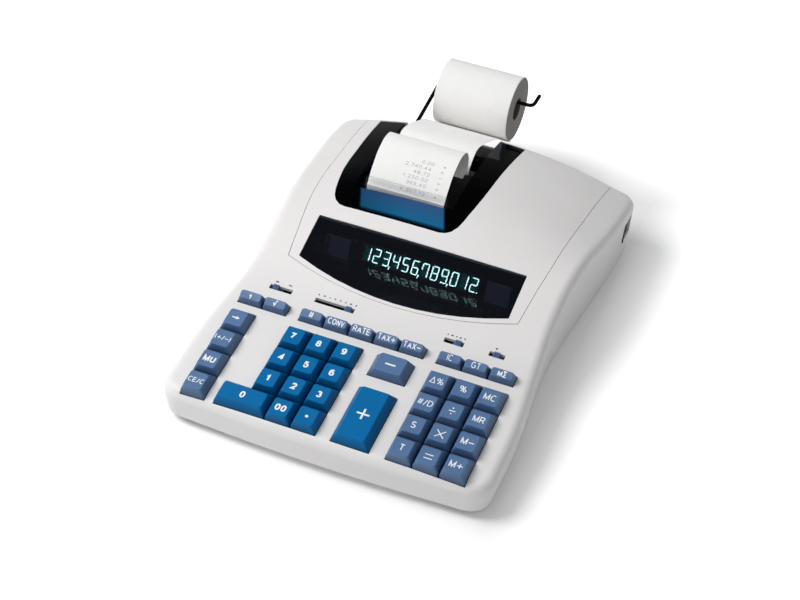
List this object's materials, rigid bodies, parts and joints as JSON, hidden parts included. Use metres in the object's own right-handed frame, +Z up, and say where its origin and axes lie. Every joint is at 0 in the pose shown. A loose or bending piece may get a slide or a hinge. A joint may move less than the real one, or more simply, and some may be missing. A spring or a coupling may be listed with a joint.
{
  "type": "printing calculator",
  "caption": "Desk calculator with a sloping keyboard, a bright display under a dark window, and a printer fed from a paper roll on a wire behind the casing.",
  "frame": {"origin": "on the desk, under the middle of the calculator and its paper roll", "axes": "+X to the right of the person typing, +Y away from them, +Z up"},
  "size_m": [0.2314, 0.3624, 0.0948],
  "materials": {
    "casing": "finely textured",
    "digit_key": "satin",
    "function_key": "satin",
    "knob": "satin",
    "black_plastic": "satin",
    "tinted_window": "polished",
    "tinted_cover": "polished",
    "clear_plastic": "polished",
    "tube_glass": "clear, with a dark grid inside",
    "guide_plate": "satin",
    "circuit_board": "lacquered",
    "steel_frame": "pressed sheet",
    "roller_rubber": "ground",
    "drum": "satin",
    "paper": "uncoated",
    "black_wire": "gloss"
  },
  "bodies": {
    "machine": {"upper_casing": "casing", "top_panel": "casing", "lower_casing": "casing", "display_window": "tinted_window", "display_tube": "tube_glass", "key_guide_plate": "guide_plate", "main_board": "circuit_board", "printer_frame": "steel_frame", "tear_bar": "clear_plastic", "paper_tape": "paper", "roll_holder": "black_wire"},
    "key_0_body": {"key_0": "digit_key"},
    "key_1_body": {"key_1": "digit_key"},
    "key_2_body": {"key_2": "digit_key"},
    "key_3_body": {"key_3": "digit_key"},
    "key_4_body": {"key_4": "digit_key"},
    "key_5_body": {"key_5": "digit_key"},
    "key_6_body": {"key_6": "digit_key"},
    "key_7_body": {"key_7": "digit_key"},
    "key_8_body": {"key_8": "digit_key"},
    "key_9_body": {"key_9": "digit_key"},
    "key_00_body": {"key_00": "digit_key"},
    "key_point_body": {"key_point": "digit_key"},
    "key_plus_body": {"key_plus": "digit_key"},
    "key_feed_body": {"key_feed": "function_key"},
    "key_root_body": {"key_root": "function_key"},
    "key_backspace_body": {"key_backspace": "function_key"},
    "key_sign_body": {"key_sign": "function_key"},
    "key_margin_body": {"key_margin": "function_key"},
    "key_clear_body": {"key_clear": "function_key"},
    "key_nonadd_body": {"key_nonadd": "function_key"},
    "key_convert_body": {"key_convert": "function_key"},
    "key_rate_body": {"key_rate": "function_key"},
    "key_tax_plus_body": {"key_tax_plus": "function_key"},
    "key_tax_minus_body": {"key_tax_minus": "function_key"},
    "key_delta_percent_body": {"key_delta_percent": "function_key"},
    "key_percent_body": {"key_percent": "function_key"},
    "key_mc_body": {"key_mc": "function_key"},
    "key_hash_body": {"key_hash": "function_key"},
    "key_divide_body": {"key_divide": "function_key"},
    "key_mr_body": {"key_mr": "function_key"},
    "key_subtotal_body": {"key_subtotal": "function_key"},
    "key_multiply_body": {"key_multiply": "function_key"},
    "key_m_minus_body": {"key_m_minus": "function_key"},
    "key_total_body": {"key_total": "function_key"},
    "key_equals_body": {"key_equals": "function_key"},
    "key_m_plus_body": {"key_m_plus": "function_key"},
    "key_ic_body": {"key_ic": "function_key"},
    "key_gt_body": {"key_gt": "function_key"},
    "key_m_sigma_body": {"key_m_sigma": "function_key"},
    "key_minus_body": {"key_minus": "function_key"},
    "slider_print_body": {"slider_print": "knob"},
    "slider_decimal_body": {"slider_decimal": "knob"},
    "slider_rounding_body": {"slider_rounding": "knob"},
    "slider_total_body": {"slider_total": "knob"},
    "power_rocker_body": {"power_rocker": "black_plastic"},
    "feed_roller_body": {"feed_roller": "roller_rubber"},
    "print_drum_body": {"print_drum": "drum"},
    "paper_roll_body": {"paper_roll": "paper"},
    "printer_cover_body": {"printer_cover": "tinted_cover"}
  },
  "joints": [
    {"name": "key_0_press", "type": "slide", "parent": "machine", "child": "key_0_body", "axis": [0, 0.1219, -0.9925], "range_m": [0, 0.0035], "stiffness_N_per_m": 170, "springref_m": -0.001},
    {"name": "key_1_press", "type": "slide", "parent": "machine", "child": "key_1_body", "axis": [0, 0.1219, -0.9925], "range_m": [0, 0.0035], "stiffness_N_per_m": 170, "springref_m": -0.001},
    {"name": "key_2_press", "type": "slide", "parent": "machine", "child": "key_2_body", "axis": [0, 0.1219, -0.9925], "range_m": [0, 0.0035], "stiffness_N_per_m": 170, "springref_m": -0.001},
    {"name": "key_3_press", "type": "slide", "parent": "machine", "child": "key_3_body", "axis": [0, 0.1219, -0.9925], "range_m": [0, 0.0035], "stiffness_N_per_m": 170, "springref_m": -0.001},
    {"name": "key_4_press", "type": "slide", "parent": "machine", "child": "key_4_body", "axis": [0, 0.1219, -0.9925], "range_m": [0, 0.0035], "stiffness_N_per_m": 170, "springref_m": -0.001},
    {"name": "key_5_press", "type": "slide", "parent": "machine", "child": "key_5_body", "axis": [0, 0.1219, -0.9925], "range_m": [0, 0.0035], "stiffness_N_per_m": 170, "springref_m": -0.001},
    {"name": "key_6_press", "type": "slide", "parent": "machine", "child": "key_6_body", "axis": [0, 0.1219, -0.9925], "range_m": [0, 0.0035], "stiffness_N_per_m": 170, "springref_m": -0.001},
    {"name": "key_7_press", "type": "slide", "parent": "machine", "child": "key_7_body", "axis": [0, 0.1219, -0.9925], "range_m": [0, 0.0035], "stiffness_N_per_m": 170, "springref_m": -0.001},
    {"name": "key_8_press", "type": "slide", "parent": "machine", "child": "key_8_body", "axis": [0, 0.1219, -0.9925], "range_m": [0, 0.0035], "stiffness_N_per_m": 170, "springref_m": -0.001},
    {"name": "key_9_press", "type": "slide", "parent": "machine", "child": "key_9_body", "axis": [0, 0.1219, -0.9925], "range_m": [0, 0.0035], "stiffness_N_per_m": 170, "springref_m": -0.001},
    {"name": "key_00_press", "type": "slide", "parent": "machine", "child": "key_00_body", "axis": [0, 0.1219, -0.9925], "range_m": [0, 0.0035], "stiffness_N_per_m": 170, "springref_m": -0.001},
    {"name": "key_point_press", "type": "slide", "parent": "machine", "child": "key_point_body", "axis": [0, 0.1219, -0.9925], "range_m": [0, 0.0035], "stiffness_N_per_m": 170, "springref_m": -0.001},
    {"name": "key_plus_press", "type": "slide", "parent": "machine", "child": "key_plus_body", "axis": [0, 0.1219, -0.9925], "range_m": [0, 0.0035], "stiffness_N_per_m": 170, "springref_m": -0.001},
    {"name": "key_feed_press", "type": "slide", "parent": "machine", "child": "key_feed_body", "axis": [0, 0.1219, -0.9925], "range_m": [0, 0.0035], "stiffness_N_per_m": 170, "springref_m": -0.001},
    {"name": "key_root_press", "type": "slide", "parent": "machine", "child": "key_root_body", "axis": [0, 0.1219, -0.9925], "range_m": [0, 0.0035], "stiffness_N_per_m": 170, "springref_m": -0.001},
    {"name": "key_backspace_press", "type": "slide", "parent": "machine", "child": "key_backspace_body", "axis": [0, 0.1219, -0.9925], "range_m": [0, 0.0035], "stiffness_N_per_m": 170, "springref_m": -0.001},
    {"name": "key_sign_press", "type": "slide", "parent": "machine", "child": "key_sign_body", "axis": [0, 0.1219, -0.9925], "range_m": [0, 0.0035], "stiffness_N_per_m": 170, "springref_m": -0.001},
    {"name": "key_margin_press", "type": "slide", "parent": "machine", "child": "key_margin_body", "axis": [0, 0.1219, -0.9925], "range_m": [0, 0.0035], "stiffness_N_per_m": 170, "springref_m": -0.001},
    {"name": "key_clear_press", "type": "slide", "parent": "machine", "child": "key_clear_body", "axis": [0, 0.1219, -0.9925], "range_m": [0, 0.0035], "stiffness_N_per_m": 170, "springref_m": -0.001},
    {"name": "key_nonadd_press", "type": "slide", "parent": "machine", "child": "key_nonadd_body", "axis": [0, 0.1219, -0.9925], "range_m": [0, 0.0035], "stiffness_N_per_m": 170, "springref_m": -0.001},
    {"name": "key_convert_press", "type": "slide", "parent": "machine", "child": "key_convert_body", "axis": [0, 0.1219, -0.9925], "range_m": [0, 0.0035], "stiffness_N_per_m": 170, "springref_m": -0.001},
    {"name": "key_rate_press", "type": "slide", "parent": "machine", "child": "key_rate_body", "axis": [0, 0.1219, -0.9925], "range_m": [0, 0.0035], "stiffness_N_per_m": 170, "springref_m": -0.001},
    {"name": "key_tax_plus_press", "type": "slide", "parent": "machine", "child": "key_tax_plus_body", "axis": [0, 0.1219, -0.9925], "range_m": [0, 0.0035], "stiffness_N_per_m": 170, "springref_m": -0.001},
    {"name": "key_tax_minus_press", "type": "slide", "parent": "machine", "child": "key_tax_minus_body", "axis": [0, 0.1219, -0.9925], "range_m": [0, 0.0035], "stiffness_N_per_m": 170, "springref_m": -0.001},
    {"name": "key_delta_percent_press", "type": "slide", "parent": "machine", "child": "key_delta_percent_body", "axis": [0, 0.1219, -0.9925], "range_m": [0, 0.0035], "stiffness_N_per_m": 170, "springref_m": -0.001},
    {"name": "key_percent_press", "type": "slide", "parent": "machine", "child": "key_percent_body", "axis": [0, 0.1219, -0.9925], "range_m": [0, 0.0035], "stiffness_N_per_m": 170, "springref_m": -0.001},
    {"name": "key_mc_press", "type": "slide", "parent": "machine", "child": "key_mc_body", "axis": [0, 0.1219, -0.9925], "range_m": [0, 0.0035], "stiffness_N_per_m": 170, "springref_m": -0.001},
    {"name": "key_hash_press", "type": "slide", "parent": "machine", "child": "key_hash_body", "axis": [0, 0.1219, -0.9925], "range_m": [0, 0.0035], "stiffness_N_per_m": 170, "springref_m": -0.001},
    {"name": "key_divide_press", "type": "slide", "parent": "machine", "child": "key_divide_body", "axis": [0, 0.1219, -0.9925], "range_m": [0, 0.0035], "stiffness_N_per_m": 170, "springref_m": -0.001},
    {"name": "key_mr_press", "type": "slide", "parent": "machine", "child": "key_mr_body", "axis": [0, 0.1219, -0.9925], "range_m": [0, 0.0035], "stiffness_N_per_m": 170, "springref_m": -0.001},
    {"name": "key_subtotal_press", "type": "slide", "parent": "machine", "child": "key_subtotal_body", "axis": [0, 0.1219, -0.9925], "range_m": [0, 0.0035], "stiffness_N_per_m": 170, "springref_m": -0.001},
    {"name": "key_multiply_press", "type": "slide", "parent": "machine", "child": "key_multiply_body", "axis": [0, 0.1219, -0.9925], "range_m": [0, 0.0035], "stiffness_N_per_m": 170, "springref_m": -0.001},
    {"name": "key_m_minus_press", "type": "slide", "parent": "machine", "child": "key_m_minus_body", "axis": [0, 0.1219, -0.9925], "range_m": [0, 0.0035], "stiffness_N_per_m": 170, "springref_m": -0.001},
    {"name": "key_total_press", "type": "slide", "parent": "machine", "child": "key_total_body", "axis": [0, 0.1219, -0.9925], "range_m": [0, 0.0035], "stiffness_N_per_m": 170, "springref_m": -0.001},
    {"name": "key_equals_press", "type": "slide", "parent": "machine", "child": "key_equals_body", "axis": [0, 0.1219, -0.9925], "range_m": [0, 0.0035], "stiffness_N_per_m": 170, "springref_m": -0.001},
    {"name": "key_m_plus_press", "type": "slide", "parent": "machine", "child": "key_m_plus_body", "axis": [0, 0.1219, -0.9925], "range_m": [0, 0.0035], "stiffness_N_per_m": 170, "springref_m": -0.001},
    {"name": "key_ic_press", "type": "slide", "parent": "machine", "child": "key_ic_body", "axis": [0, 0.1219, -0.9925], "range_m": [0, 0.0035], "stiffness_N_per_m": 170, "springref_m": -0.001},
    {"name": "key_gt_press", "type": "slide", "parent": "machine", "child": "key_gt_body", "axis": [0, 0.1219, -0.9925], "range_m": [0, 0.0035], "stiffness_N_per_m": 170, "springref_m": -0.001},
    {"name": "key_m_sigma_press", "type": "slide", "parent": "machine", "child": "key_m_sigma_body", "axis": [0, 0.1219, -0.9925], "range_m": [0, 0.0035], "stiffness_N_per_m": 170, "springref_m": -0.001},
    {"name": "key_minus_press", "type": "slide", "parent": "machine", "child": "key_minus_body", "axis": [0, 0.1219, -0.9925], "range_m": [0, 0.0035], "stiffness_N_per_m": 170, "springref_m": -0.001},
    {"name": "slider_print_slide", "type": "slide", "parent": "machine", "child": "slider_print_body", "axis": [1, 0, 0], "range_m": [-0.0024, 0.0093]},
    {"name": "slider_decimal_slide", "type": "slide", "parent": "machine", "child": "slider_decimal_body", "axis": [1, 0, 0], "range_m": [-0.0221, 0.0017]},
    {"name": "slider_rounding_slide", "type": "slide", "parent": "machine", "child": "slider_rounding_body", "axis": [1, 0, 0], "range_m": [-0.0076, 0.0013]},
    {"name": "slider_total_slide", "type": "slide", "parent": "machine", "child": "slider_total_body", "axis": [1, 0, 0], "range_m": [-0.003, 0.003]},
    {"name": "power_rocker_tilt", "type": "hinge", "parent": "machine", "child": "power_rocker_body", "pos_m": [0.1127, 0.1058, 0.031], "axis": [0, 0, 1], "range_deg": [-16, 0]},
    {"name": "feed_roller_turn", "type": "hinge", "parent": "machine", "child": "feed_roller_body", "pos_m": [-0.028, 0.0378, 0.04], "axis": [1, 0, 0], "continuous": true},
    {"name": "print_drum_turn", "type": "hinge", "parent": "machine", "child": "print_drum_body", "pos_m": [-0.028, 0.0148, 0.045], "axis": [1, 0, 0], "continuous": true},
    {"name": "paper_roll_turn", "type": "hinge", "parent": "machine", "child": "paper_roll_body", "pos_m": [-0.0203, 0.1568, 0.0704], "axis": [1, 0, 0], "continuous": true},
    {"name": "printer_cover_lift", "type": "slide", "parent": "machine", "child": "printer_cover_body", "axis": [0, 0, 1], "range_m": [0, 0.03]}
  ]
}
